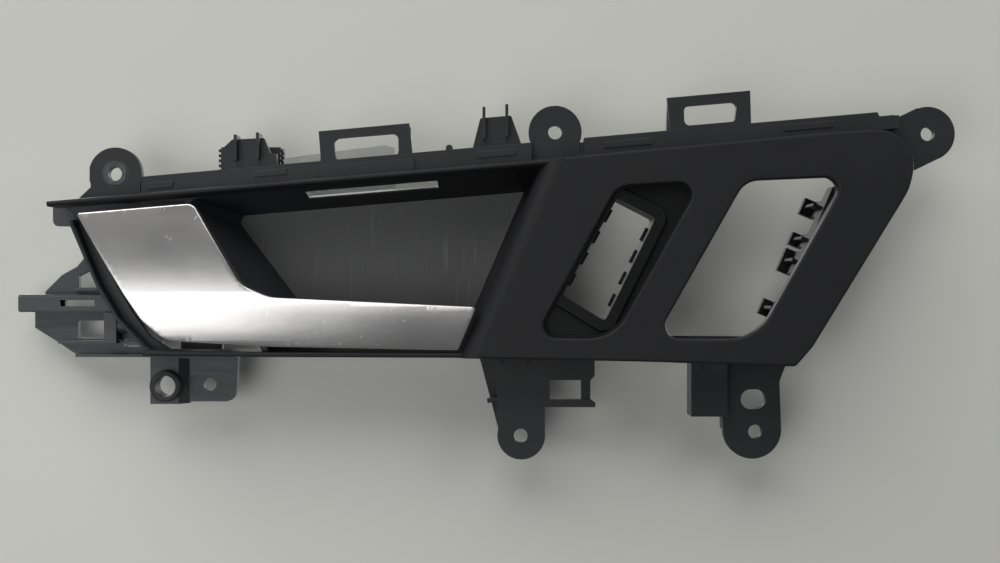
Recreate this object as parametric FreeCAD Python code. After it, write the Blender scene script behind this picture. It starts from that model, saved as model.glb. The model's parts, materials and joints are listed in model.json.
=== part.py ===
"""Inside door handle with its trim panel, as it sits on the door: +X along the door, +Z up, the cabin towards -Y.

The origin is the centre of the upper middle screw hole, on the plane where the screw ears seat (y = 0).
All lengths are in millimetres. Outlines are lists of (x, z) corners, with a corner radius as a third number.
"""
import FreeCAD
import Part
import math
import os
from FreeCAD import Vector

# Depth planes, from the cabin side to the door side.
FACE_Y = -17.0           # front face of the switch panel
PANEL_T = 2.5            # panel wall
LIP_Y = -15.5            # front of the recess's upper lip
SKIRT_END_Y = -8.0       # rear edge of the panel's outer skirt
RAIL_FRONT_Y = -7.5      # front face of the fixing rail
RAIL_T = 2.2             # rail wall
RAIL_H = 6.6             # rail height, square to its top edge
EAR_T = 3.0              # screw ears fill y = -EAR_T to 0
TAB_Y = 2.0              # front face of the lower screw tabs
TAB_T = 3.0
FLOOR_Y = 14.0           # front face of the finger recess floor
FLOOR_T = 2.0
BRACKET_Y = 14.5         # front face of the bearing bracket's back plate
BRACKET_T = 2.5
RIB_T = 1.4              # stiffening ribs

# Screw holes.
SCREW_R = 2.6            # clearance for a 4.8 mm sheet-metal screw
SMALL_SCREW_R = 2.45     # clearance for a 4.5 mm screw
EAR_R = 9.9              # outside radius of a screw ear
SEAT_R = 7.0             # raised seat round an ear's hole
SEAT_STEP = 0.4          # how far the seat stands behind the rest of the ear
EARS = {"left": (-163.6, -15.5), "middle": (0.0, 0.0), "right": (138.6, -0.6)}
TAB_A_HOLE = (-12.7, -113.5)
TAB_B_HOLE = (75.7, -112.1)
BUSH_HOLE = (-145.8, -94.7)
BUSH_SEAT_R = 5.0
BUSH_HEAD_R = 5.9
BUSH_BORE_R = 3.95
SMALL_TAB_HOLE = (-130.5, -94.5)
HEAD_T = 1.8             # screw heads
BEZEL_BOSS_R = 3.6
BEZEL_SCREW_R = 1.45
BEZEL_SCREWS = [(24.0, -13.6), (60.0, -10.5), (112.0, -9.5), (113.0, -33.0), (92.5, -66.0), (28.0, -79.8),
                (-18.2, -71.5), (1.5, -24.5)]
BRACKET_SCREW_R = 1.35
BRACKET_SCREWS = [(-135.0, -19.4), (-97.0, -17.2)]

# Lever hinge: a vertical pin behind the lever's broad end.
AXIS_X, AXIS_Y = -148.5, -7.0
PIN_R = 2.0
PIN_HEAD_R = 3.2
KNUCKLE_R = 4.0
BUSH_R = 2.9             # outside of the bushes in the knuckles
EYE_R = 2.2              # outside of the cable eye
UPPER_LUG = (-39.6, -36.0)          # heights of the four hinge eyes
UPPER_KNUCKLE = (-45.8, -40.0)
LOWER_KNUCKLE = (-63.4, -57.4)
LOWER_LUG = (-67.6, -63.8)
CLIP_Z = (LOWER_LUG[0] - 1.1, LOWER_LUG[0] - 0.5)
CLIP_GROOVE_R = 1.5
RUNNING_GAP = 0.05       # radial clearance of the pin in its bushes
PIN_SEAT_GAP = 0.02      # radial clearance of the pin in the bracket's lugs
SPRING_WIRE_R = 0.5
SPRING_COIL_R = 3.3
SPRING_TURNS = 6
ARM_LENGTH = 28.0        # pin to cable eye
ARM_T = 3.0

# Lever.
CREASE_Z = -59.6
LEVER = [(-173.6, -30.8, 0.8), (-131.4, -27.2, 4.0), (-113.4, -56.8, 11), (-103.2, -61.2, 12), (-28.9, -64.7, 1.2),
         (-35.6, -80.5, 1.6), (-104.0, -79.2, 200), (-141.8, -77.0, 10), (-149.6, -69.6, 8)]
PLATE_TOP = (40.0, -14.8)       # front section, as height above the crease and depth: top of the flat plate,
CREASE = (0.0, -19.4)           # sharp crease,
BAR_BELLY = (-12.0, -16.94)     # middle of the bar's rounded face,
BAR_FOOT = (-26.0, -12.0)       # and its lower end
SECTION_BACK_Y = 5.0
LEVER_T = 1.8            # shell wall
CORE_GAP = 0.05          # between shell and core
CORE_T = 1.6             # core skin
LEVER_BACK_Y = -12.2
GRIP_ZONE = [(-136.0, -33.0, 3), (-133.0, -32.0, 3), (-116.0, -60.0, 6), (-40.0, -66.5, 3), (-43.0, -76.0, 3),
             (-136.0, -73.0, 6)]
GRIP_BACK = [(-101.0, -64.0, 3), (-35.5, -67.2, 1.5), (-39.5, -78.0, 1.5), (-104.0, -76.8, 3)]
GRIP_BACK_T = 3.2
BUFFER = (-139.0, -48.0)
BUFFER_SEAT_Y = -8.0
BUFFER_R = 2.6
BUFFER_STEM_R = 0.95
BUFFER_GAP = 0.35        # left between the buffer and the closed lever

# Front bezel.
TOP_LEFT = (-184.5, -26.4)
ROLL_TOP, ROLL_LOW = (2.6, -10.6), (-28.6, -83.3)
PANEL = [ROLL_TOP, (100.0, -1.6, 60), (131.8, 0.2, 13), (127.4, -22.0, 22), (92.4, -79.0, 6), (86.2, -86.2, 2.5),
         (30.0, -84.4, 200), ROLL_LOW]
LOCK_OPENING = [(22.0, -21.2, 8), (52.0, -19.4, 4.5), (20.3, -75.9, 15), (-7.7, -75.7, 4.5)]
MEMORY_OPENING = [(68.0, -19.2, 9), (104.6, -17.7, 4.5), (71.8, -76.3, 18), (35.6, -76.2, 5)]
WALL_T = 2.0
ROLL_R = 6.5             # rounding of the panel into the recess
RIGHT_WALL_LEAN = 2.2
TOP_WALL_DROP = 7.1      # how far the recess's top wall slopes down over its depth
SHALLOW_Y = -4.2         # rear edge of the top wall above the lever's broad end
RECESS_LEFT_X = -131.0
LEFT_WALL_T = 2.4
LEFT_WALL_Y = -9.5       # front edge of the left wall
LEFT_WALL_FRONT = [(-134.6, -3.2), (-104.5, -82.6)]     # upper ends as distance from the top line
LEFT_WALL_BACK = [(-124.5, -7.0), (-83.3, -82.6)]
CORNER_R = (2.0, 3.2)    # rounding between left and top wall, in front and at the floor
CORNER_SINK = 0.25       # how far that rounding's filling bites into both walls
BOTTOM_LEFT = (-150.5, -82.6)
BOTTOM_BEND = (-106.0, -83.0)
RIM = [(-184.5, -27.0), (-131.0, -25.2), (-131.0, -29.0), (-173.4, -31.6), (-168.6, -43.6), (-163.6, -56.6),
       (-157.4, -67.0), (-150.6, -76.4, 8), (-143.0, -81.0, 6), (-104.0, -81.5), (-104.0, -83.2), (-150.0, -82.8, 10),
       (-162.1, -69.8, 14), (-169.4, -57.6), (-174.6, -45.6), (-179.2, -34.8), (-179.2, -30.2)]
RIM_Y = (-2.0, -0.1)
LIP_TOP_Z = -32.8        # the rim's lip ends here, below the lever's upper edge
BAY = [(-179.2, -30.8), (-120.0, -29.0), (-104.0, -83.2), (-150.0, -82.8, 10), (-162.1, -69.8, 14), (-169.4, -57.6),
       (-174.6, -45.6), (-179.2, -34.8)]
RIM_LIP_Y = -7.0         # front of the lip round the outside of the lever bay
RIM_LIP_T = 1.4

# Light guide and lamp.
SLIT_LEFT, SLIT_RIGHT = -91.5, -43.5
SLIT_Y = (-7.2, 1.5)
SLIT_SKEW = 1.4
SLIT_DEPTH = 9.5
GUIDE_GAP = 0.1
FEED_Y = (0.2, 1.4)      # feed plate of the light guide
LAMP_X = (-126.6, -102.2)
LAMP_Y = (2.6, 12.0)
LAMP_Z = (-15.2, -4.9)
LAMP_WALL = 1.4

# Carrier frame.
RAIL_LEFT, RAIL_RIGHT = (-172.0, -18.6), (117.5, 6.8)      # the rail's top edge is one straight line
RAIL_X = (-172.9, 126.5)
RAIL_STEP = (118.5, 1.8)                                   # where the front flange steps down, and how far
RAIL_RIBS = (-146, -94, -72, -47, -34, 14, 36, 76, 97, 116)
RING_OUT = [(0.5, -17.0), (126.5, -5.5, 9), (122.0, -25.0), (88.5, -80.0, 3), (83.0, -83.0, 2), (-28.0, -80.5)]
RING_HOLE_A = [(14.0, -19.0, 3), (55.5, -15.8, 5), (28.0, -72.0, 6), (16.0, -76.0, 5), (-13.0, -74.5, 3)]
RING_HOLE_B = [(63.0, -15.2, 6), (109.0, -14.6, 6), (84.0, -76.0, 8), (35.0, -75.6, 5)]
LOOP_ONE = [(-87.3, -0.2), (-53.9, 2.8), (-52.4, -11.0), (-86.2, -14.0)]
LOOP_ONE_WINDOW = [(-81.6, -2.9, 2.2), (-58.0, -0.9, 2.2), (-57.8, -9.2, 2.2), (-81.2, -11.2, 2.2)]
LOOP_ONE_PAD = [(-86.6, -12.9), (-52.2, -10.3), (-51.8, -15.0), (-86.2, -18.0)]
LOOP_TWO = [(41.0, 12.1), (71.6, 14.8), (72.0, 1.0), (42.3, -2.0)]
LOOP_TWO_WINDOW = [(47.2, 9.0, 2.0), (66.9, 10.7, 2.0), (65.9, 3.4, 1.4), (47.4, 1.8, 2.0)]
TOWER_ONE = [(-123.2, -20.2), (-123.0, -6.2), (-119.6, -3.0, 0.6), (-107.8, -2.4, 0.6), (-105.4, -8.0), (-103.2, -8.2),
             (-102.6, -18.2)]
TOWER_TWO = [(-31.0, -12.0), (-30.6, -6.2), (-27.8, 4.9, 0.6), (-16.4, 5.9, 0.6), (-12.6, -4.6), (-12.3, -10.4)]
TOWER_Y = -5.5
FIN_T = 1.1
PAD_X = ((-150.4, -140.8, 2.6), (-111.2, -99.0, 1.6), (-28.8, -14.4, 1.8), (17.8, 35.4, 2.2), (84.0, 102.4, 1.8))
TAB_B_LOBE = (74.6, -111.4, 10.95)
TAB_B_SLOT = (75.0, -99.9, 9.4, 7.4)     # centre, length and height of the adjusting slot

# Bearing bracket.
LEFT_PLATE = [(-200.4, -67.4), (-200.4, -73.4), (-191.4, -79.0), (-183.4, -84.4), (-128.0, -84.4), (-128.0, -74.0),
              (-132.0, -30.0), (-150.0, -30.0), (-180.2, -45.0), (-184.2, -49.8), (-190.0, -53.0), (-196.4, -59.4),
              (-196.4, -60.6), (-204.6, -60.6), (-204.6, -67.2)]
SHEATH_WINDOW = [(-188.8, -62.6), (-175.4, -62.6), (-175.4, -65.0), (-188.8, -65.0)]
WINDOWS = [
    [(-183.4, -53.4), (-178.0, -50.6), (-174.2, -57.8), (-183.4, -57.8)],
    SHEATH_WINDOW,
    [(-183.8, -70.6), (-173.0, -70.6), (-173.0, -77.4), (-183.8, -77.4)],
    [(-166.0, -77.6), (-158.6, -77.6), (-158.6, -80.6), (-166.0, -80.6)],
    [(-151.2, -78.0), (-144.0, -78.0), (-144.0, -81.4), (-151.2, -81.4)],
    [(-153.4, -57.6, 1), (-135.6, -57.6, 1), (-135.6, -64.8, 1), (-153.4, -64.8, 1)],
]
CHANNEL_Z = (-66.6, -61.2)               # centres of the cable channel's two walls
CHANNEL_X = (-204.6, -168.0)
CHANNEL_WALL = 1.2
CHANNEL_DEPTH = 5.0

# Recess floor.
FLOOR = [(-127.5, -28.2, 2), (-4.0, -17.6, 3), (-33.0, -84.6, 3), (-91.0, -84.4, 3)]
FLOOR_RIB_H = 3.0

# Switch surrounds.
LOCK_POCKET = [(22.0, -25.3, 1.2), (36.0, -32.5, 1.2), (17.6, -69.9, 1.2), (2.2, -60.4, 1.2)]
DISH_Y = -12.4           # front of the dish floor
COLLAR_Y = -14.2         # front of the collar round the pocket
POCKET_END_Y = 1.5
POCKET_WALL = 1.8
COLLAR_W = 4.4
SNAP_STARTS = (4.0, 13.0, 22.0, 31.0)
SNAP_LENGTH = 5.0
SNAP_Y = (-7.0, -4.0)
WALL_TOP, WALL_LOW = (101.3, -20.0), (78.0, -74.2)         # retainer wall of the memory switch
RETAINER_T = 1.8
RETAINER_SPAN = (1.0, 58.0)
WALL_END_Y = -4.0
FINGER_END_Y = 7.0
FINGERS = ((6.0, 6.4, 4.2), (19.6, 5.0, 3.4), (26.2, 9.2, 3.4), (47.0, 6.2, 3.6))   # start, length, reach

SLOPE = (RAIL_RIGHT[1] - RAIL_LEFT[1]) / (RAIL_RIGHT[0] - RAIL_LEFT[0])
UP_RAIL = math.hypot(1, SLOPE)


def rail_z(x, down=0.0):
    """Height of the rail's top edge at x, less a distance square to it."""
    return RAIL_LEFT[1] + SLOPE * (x - RAIL_LEFT[0]) - down * UP_RAIL


def along_rail(x, down=0.0):
    return (x, rail_z(x, down))


def top_line(x):
    """Height of the bezel's top edge."""
    return TOP_LEFT[1] + (ROLL_TOP[1] - TOP_LEFT[1]) / (ROLL_TOP[0] - TOP_LEFT[0]) * (x - TOP_LEFT[0])


def along_top(x):
    return (x, top_line(x))


# ---------------------------------------------------------------- small tools

def outline(corners, y=0.0):
    """Closed wire in the plane y, from corners (x, z) or (x, z, corner radius)."""
    pts = [Vector(c[0], y, c[1]) for c in corners]
    radii = [c[2] if len(c) > 2 else 0.0 for c in corners]
    n = len(pts)
    starts, ends, mids = [], [], []
    for i, p in enumerate(pts):
        a = (pts[i - 1] - p).normalize()
        b = (pts[(i + 1) % n] - p).normalize()
        half = a.getAngle(b) / 2
        cut = radii[i] / math.tan(half) if radii[i] else 0.0
        starts.append(p + a * cut)
        ends.append(p + b * cut)
        if radii[i]:
            mids.append(p + (a + b).normalize() * (radii[i] / math.sin(half) - radii[i]))
        else:
            mids.append(None)
    edges = []
    for i in range(n):
        if mids[i] is not None:
            edges.append(Part.Arc(starts[i], mids[i], ends[i]).toShape())
        if (ends[i] - starts[(i + 1) % n]).Length > 1e-6:
            edges.append(Part.LineSegment(ends[i], starts[(i + 1) % n]).toShape())
    return Part.Wire(edges)


def plate(corners, y0, y1):
    """Prism over an outline, between two depth planes."""
    return Part.Face(outline(corners, y0)).extrude(Vector(0, y1 - y0, 0))


def inset_plate(corners, inset, y0, y1):
    """The same prism with its sides moved in by inset, or out where inset is negative."""
    face = Part.Face(outline(corners, y0))
    return face.makeOffset2D(-inset).extrude(Vector(0, y1 - y0, 0))


def box(x0, x1, y0, y1, z0, z1):
    return Part.makeBox(x1 - x0, y1 - y0, z1 - z0, Vector(x0, y0, z0))


def bore(centre, r, y0, y1):
    """Cylinder along Y."""
    return Part.makeCylinder(r, y1 - y0, Vector(centre[0], y0, centre[1]), Vector(0, 1, 0))


def post(x, y, r, z0, z1):
    """Cylinder along Z."""
    return Part.makeCylinder(r, z1 - z0, Vector(x, y, z0), Vector(0, 0, 1))


def bar(p, q, width, y0, y1):
    """Straight bar between two points of the front view."""
    along = Vector(q[0] - p[0], 0, q[1] - p[1]).normalize()
    side = Vector(-along.z, 0, along.x) * (width / 2)
    a, b = Vector(p[0], y0, p[1]), Vector(q[0], y0, q[1])
    wire = Part.makePolygon([a + side, b + side, b - side, a - side, a + side])
    return Part.Face(wire).extrude(Vector(0, y1 - y0, 0))


def sweep_section(section, start, end):
    """A section of (w, y) points or arcs, drawn square to the line from start to end and run along it.

    w is measured square to the line, upwards when the line runs to +X.
    """
    along = Vector(end[0] - start[0], 0, end[1] - start[1])
    unit = Vector(along).normalize()
    up = Vector(-unit.z, 0, unit.x)
    base = Vector(start[0], 0, start[1])

    def place(wy):
        return base + up * wy[0] + Vector(0, wy[1], 0)

    edges = []
    last = place(section[0])
    for item in section[1:] + [section[0]]:
        if len(item) == 4:
            end_point = place(item[2:])
            edges.append(Part.Arc(last, place(item[:2]), end_point).toShape())
        else:
            end_point = place(item)
            edges.append(Part.LineSegment(last, end_point).toShape())
        last = end_point
    return Part.Face(Part.Wire(edges)).extrude(along)


def fuse(shapes):
    joined = shapes[0].multiFuse(shapes[1:]) if len(shapes) > 1 else shapes[0]
    return joined.removeSplitter()


def soften(solid, radius, wanted):
    """Fillet the edges that wanted(edge) picks; the solid is left sharp where that can't be built."""
    edges = [e for e in solid.Edges if wanted(e)]
    if not edges:
        return solid
    try:
        done = solid.makeFillet(radius, edges)
        return done if done.isValid() else solid
    except Exception:
        return solid


def lies_on(y):
    """Picks the edges that lie in one depth plane."""
    return lambda e: all(abs(v.Point.y - y) < 1e-4 for v in e.Vertexes) and abs(e.CenterOfMass.y - y) < 1e-4


# ---------------------------------------------------------------- front bezel

def panel_shell():
    """Switch panel with its skirt, open at both switches."""
    shell = plate(PANEL, FACE_Y, SKIRT_END_Y).cut(inset_plate(PANEL, WALL_T, FACE_Y + PANEL_T, SKIRT_END_Y + 1))
    for opening in (LOCK_OPENING, MEMORY_OPENING):
        shell = shell.cut(plate(opening, FACE_Y - 1, SKIRT_END_Y))
    unit = Vector(ROLL_LOW[0] - ROLL_TOP[0], 0, ROLL_LOW[1] - ROLL_TOP[1]).normalize()

    def outer_front(e):
        if not lies_on(FACE_Y)(e):
            return False
        to_edge = e.CenterOfMass - Vector(ROLL_TOP[0], FACE_Y, ROLL_TOP[1])
        return (to_edge - unit * to_edge.dot(unit)).Length > 1e-3

    return soften(shell, 1.0, outer_front)


def rolled_wall():
    """The panel's left edge rolls over and runs back to the recess floor."""
    r, t, lean = ROLL_R, PANEL_T, RIGHT_WALL_LEAN
    s = math.sqrt(0.5)
    section = [(0, FACE_Y), (r * s, FACE_Y + r - r * s, r, FACE_Y + r), (r + lean, FLOOR_Y),
               (r + lean - t, FLOOR_Y), (r - t, FACE_Y + r),
               ((r - t) * s, FACE_Y + r - (r - t) * s, 0, FACE_Y + t)]
    over = 6.0
    unit = Vector(ROLL_TOP[0] - ROLL_LOW[0], 0, ROLL_TOP[1] - ROLL_LOW[1]).normalize() * over
    start = (ROLL_LOW[0] - unit.x, ROLL_LOW[1] - unit.z)
    end = (ROLL_TOP[0] + unit.x, ROLL_TOP[1] + unit.z)
    wall = sweep_section(section, start, end)
    low = ROLL_LOW[1]
    keep = plate([along_top(-80), along_top(60), (60, low), (-80, low)], FACE_Y - 1, FLOOR_Y + 1)
    return wall.common(keep)


def top_wall():
    """Lip and sloping top wall of the recess; over the lever's broad end only the lip and a shallow wall."""
    drop, t = TOP_WALL_DROP, WALL_T
    lip = [(0, LIP_Y + 1.0), (-0.3, LIP_Y + 0.3, -1.0, LIP_Y), (-1.6, LIP_Y + 0.25, -2.0, LIP_Y + 0.9)]
    flat_end = LIP_Y + 7.0
    deep = lip + [(-drop - t, FLOOR_Y), (-drop, FLOOR_Y), (-1.6, flat_end), (0, flat_end)]
    shallow = lip + [(-2.0, SHALLOW_Y), (0, SHALLOW_Y)]
    return [sweep_section(deep, along_top(RECESS_LEFT_X), along_top(-2.5)),
            sweep_section(shallow, along_top(TOP_LEFT[0]), along_top(RECESS_LEFT_X))]


def wall_line(line):
    """End points of the left wall's line in one depth plane."""
    (x0, down), low = line
    return (x0, top_line(x0) + down), low


def left_wall():
    """Left side of the recess, leaning from behind the lever to the floor."""

    def quad(y, line):
        a, b = wall_line(line)
        t = LEFT_WALL_T
        return Part.makePolygon([Vector(a[0], y, a[1]), Vector(b[0], y, b[1]), Vector(b[0] - t, y, b[1]),
                                 Vector(a[0] - t, y, a[1]), Vector(a[0], y, a[1])])

    return Part.makeLoft([quad(LEFT_WALL_Y, LEFT_WALL_FRONT), quad(FLOOR_Y, LEFT_WALL_BACK)], True, True)


def top_wall_face(y):
    """Distance of the top wall's lower face from the top line."""
    start = LIP_Y + 0.9
    return 2.0 + TOP_WALL_DROP * (y - start) / (FLOOR_Y - start)


def recess_corner():
    """Rounds the corner between the left wall and the top wall, wider towards the floor."""
    wires = []
    for y, line, r in ((LEFT_WALL_Y, LEFT_WALL_FRONT, CORNER_R[0]), (FLOOR_Y, LEFT_WALL_BACK, CORNER_R[1])):
        (ax, az), (bx, bz) = wall_line(line)
        down = Vector(bx - ax, 0, bz - az).normalize()
        right = Vector(1, 0, top_line(1) - top_line(0)).normalize()
        # Both faces of the corner, moved back so that the filling bites into the walls.
        wall_point = Vector(ax - CORNER_SINK, y, az)
        roof_point = Vector(0, y, top_line(0) - top_wall_face(y) + CORNER_SINK)
        cross = (roof_point - wall_point).cross(right).y / down.cross(right).y
        corner = wall_point + down * cross
        half = down.getAngle(right) / 2
        middle = (down + right).normalize()
        reach = r / math.tan(half)
        arc = Part.Arc(corner + down * reach, corner + middle * (r / math.sin(half) - r), corner + right * reach)
        wires.append(Part.Wire([Part.LineSegment(corner, corner + down * reach).toShape(), arc.toShape(),
                                Part.LineSegment(corner + right * reach, corner).toShape()]))
    return Part.makeLoft(wires, True, True)


def bottom_wall():
    """Wall under the lever bar, with a rounded front lip; shallow under the lever's broad end."""
    t = WALL_T
    lip = [(0, -12.0), (0.25, -12.8, t / 2, -13.0), (t - 0.3, -12.8, t, -12.0)]
    right = sweep_section(lip + [(t, FLOOR_Y), (0, FLOOR_Y)], BOTTOM_BEND, (ROLL_LOW[0] - 0.4, ROLL_LOW[1]))
    low = sweep_section(lip + [(t, 2.5), (0, 2.5)], BOTTOM_LEFT, BOTTOM_BEND)
    return [right, low]


def lever_bay_rim():
    """Flat rim behind the lever's edge, with a lip round its outside."""
    lip = plate(BAY, RIM_LIP_Y, RIM_Y[1] - 0.5).cut(inset_plate(BAY, RIM_LIP_T, RIM_LIP_Y - 1, RIM_Y[1]))
    lip = lip.common(box(-190.0, -138.0, RIM_LIP_Y, RIM_Y[1], -90.0, LIP_TOP_Z))
    return [plate(RIM, *RIM_Y), soften(lip, 0.5, lies_on(RIM_LIP_Y))]


def slit_tool(gap):
    """Block through the top wall where the light guide sits, grown by gap."""
    x0, x1 = SLIT_LEFT - gap, SLIT_RIGHT + gap
    return plate([(x0 - SLIT_SKEW, top_line(x0)), (x1, top_line(x1)), (x1, top_line(x1) - SLIT_DEPTH),
                  (x0, top_line(x0) - SLIT_DEPTH)], SLIT_Y[0] - gap, SLIT_Y[1] + gap)


def front_bezel():
    pieces = [panel_shell(), rolled_wall(), left_wall(), recess_corner()] + top_wall() + bottom_wall() + lever_bay_rim()
    pieces += [bore(p, BEZEL_BOSS_R, FACE_Y + PANEL_T - 0.2, -EAR_T) for p in BEZEL_SCREWS]
    solid = fuse(pieces)
    for p in BEZEL_SCREWS:
        solid = solid.cut(bore(p, BEZEL_SCREW_R + 0.05, FACE_Y + PANEL_T + 1.0, 0))
    return solid.cut(slit_tool(0.0))


# ---------------------------------------------------------------- carrier frame

def rail():
    """Channel-shaped rail: front flange, rear strip, bottom web and cross ribs."""
    x0, x1 = RAIL_X
    step_x, step = RAIL_STEP
    front = plate([along_rail(x0), along_rail(step_x), along_rail(step_x + 0.8, step), along_rail(x1, step),
                   along_rail(x1, RAIL_H), along_rail(x0, RAIL_H)], RAIL_FRONT_Y, RAIL_FRONT_Y + RAIL_T)
    rear = plate([along_rail(x0, 1.0), along_rail(x1, 1.0), along_rail(x1, RAIL_H), along_rail(x0, RAIL_H)],
                 -2.4, -SEAT_STEP)
    web = plate([along_rail(x0, RAIL_H - 1.6), along_rail(x1, RAIL_H - 1.6), along_rail(x1, RAIL_H),
                 along_rail(x0, RAIL_H)], RAIL_FRONT_Y, -SEAT_STEP)
    ribs = [bar(along_rail(x, 1.4), along_rail(x + SLOPE, RAIL_H - 0.4), RIB_T, RAIL_FRONT_Y + 0.5, -1.0)
            for x in RAIL_RIBS]
    return [front, rear, web] + ribs


def ear(centre, foot_z, side=9.2):
    """Screw ear standing on a straight foot."""
    x, z = centre
    return bore(centre, EAR_R, -EAR_T, -SEAT_STEP).fuse(box(x - side, x + side, -EAR_T, -SEAT_STEP, foot_z, z))


def flange_gap(x0, x1):
    """Removes the rail in front of an ear, so that the ear shows down to its foot."""
    return box(x0, x1, RAIL_FRONT_Y - 1, -EAR_T, -26, 8)


def loop(corners, window, gussets):
    """Hook loop on the rail's front flange, with a gusset (x, top, bottom) behind each end."""
    frame = plate(corners, RAIL_FRONT_Y, RAIL_FRONT_Y + RAIL_T)
    pieces = [frame.cut(plate(window, RAIL_FRONT_Y - 1, RAIL_FRONT_Y + RAIL_T + 1))]
    for x, top, low in gussets:
        y0 = RAIL_FRONT_Y + RAIL_T - 0.4
        side = Part.makePolygon([Vector(x, y0, top), Vector(x, y0, low), Vector(x, -SEAT_STEP, low), Vector(x, y0, top)])
        pieces.append(Part.Face(side).extrude(Vector(RIB_T, 0, 0)))
    return pieces


def tower(corners, fins):
    """Clip tower on the rail, with round-topped fins (x, bottom, top) through it."""
    pieces = [plate(corners, TOWER_Y, TOWER_Y + RAIL_T)]
    for x, low, high in fins:
        fin = box(x - FIN_T / 2, x + FIN_T / 2, TOWER_Y - 2.6, TOWER_Y + 4.5, low, high)
        across = lambda e: (all(abs(v.Point.z - high) < 1e-6 for v in e.Vertexes)
                            and abs(e.Vertexes[0].Point.x - e.Vertexes[-1].Point.x) < 1e-6)
        pieces.append(soften(fin, FIN_T / 2 - 0.05, across))
    return pieces


def clip_pads():
    """Low raised pads on the rail's face over the panel's snap hooks."""
    height = 2.2
    return [plate([along_rail(x0, down), along_rail(x1, down), along_rail(x1, down + height),
                   along_rail(x0, down + height)], RAIL_FRONT_Y - 0.5, RAIL_FRONT_Y + 0.5) for x0, x1, down in PAD_X]


def foot_gusset(x, y, z, reach, height):
    """Small triangular gusset in front of a tab's root."""
    side = Part.makePolygon([Vector(x, y, z), Vector(x, y - reach, z), Vector(x, y, z - height), Vector(x, y, z)])
    return Part.Face(side).extrude(Vector(RIB_T, 0, 0))


def tab_a():
    """Lower middle screw tab, with a side arm that has a cable window."""
    y0, y1 = TAB_Y, TAB_Y + TAB_T
    rear = y1 + 2.5
    z = TAB_A_HOLE[1]
    body = plate([(-21.6, -79.0), (-3.6, -79.0), (-3.6, z), (-21.2, z)], y0, y1).fuse(bore((-12.5, z), 9.0, y0, y1))
    wing = plate([(-28.4, -83.7), (-21.0, -83.7), (-20.6, -113.5)], rear - 1.5, rear)
    ridge = plate([(-22.0, -83.0), (-20.4, -83.0), (-20.4, -113.0), (-21.0, -113.0)], y0, rear)
    nub = bar((-25.3, -100.6), (-21.0, -99.8), 1.6, y0 + 1.0, rear)
    arm = plate([(-5.0, -79.0), (15.1, -79.0), (15.1, -91.0), (13.6, -92.6), (-5.0, -92.6)], y0, y1)
    low = plate([(-5.0, -99.9), (13.8, -99.9), (15.4, -101.0), (15.4, -102.8), (-5.0, -102.8)], y0, y1)
    near = plate([(-5.0, -92.0), (-1.8, -92.0), (-1.8, -100.5), (-5.0, -100.5)], y0, y1)
    cross = plate([(10.1, -92.0), (13.6, -92.0), (13.6, -100.5), (10.1, -100.5)], y0 + 1.4, y1)
    joggle = plate([(-24.5, -78.0), (15.1, -77.0), (15.1, -82.0), (-24.5, -82.0)], -SEAT_STEP, y1)
    gussets = [foot_gusset(x, y0 + 0.2, -80.0, 2.2, 7.5) for x in (-20.6, -10.8)]
    return [body, wing, ridge, nub, arm, low, near, cross, joggle] + gussets


def tab_b():
    """Lower right screw tab with an adjusting slot, and a hollow snap box beside it."""
    y0, y1 = TAB_Y + 1.0, TAB_Y + 1.0 + TAB_T
    x, z, r = TAB_B_LOBE
    body = plate([(62.9, -80.0), (90.0, -80.0), (84.9, -93.2), (x + r, z), (x - r, z)], y0, y1)
    body = body.fuse(bore((x, z), r, y0, y1))
    skirt = plate([(62.9, -83.0), (64.3, -83.0), (64.3, z), (x - r, z)], y0, y1 + 4.0)
    sx, sz, width, height = TAB_B_SLOT
    half, end_r = width / 2, height / 2 - 0.01
    slot = plate([(sx - half, sz + height / 2, end_r), (sx + half, sz + height / 2, end_r),
                  (sx + half, sz - height / 2, end_r), (sx - half, sz - height / 2, end_r)], y0 - 1, y1 + 1)
    shell = box(50.8, 64.3, -2.0, 8.0, -105.9, -82.0).cut(box(52.3, 62.9, -0.5, 6.5, -107, -83.5))
    joggle = plate([(50.8, -77.0), (90.5, -77.5), (88.0, -82.5), (50.8, -82.5)], -SEAT_STEP, y1)
    gussets = [foot_gusset(80.2, y0 + 0.2, -81.0, 2.4, 9.0), foot_gusset(54.0, -1.9, -82.4, 1.8, 7.0)]
    return [body.cut(slot), skirt, shell, joggle] + gussets


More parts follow.
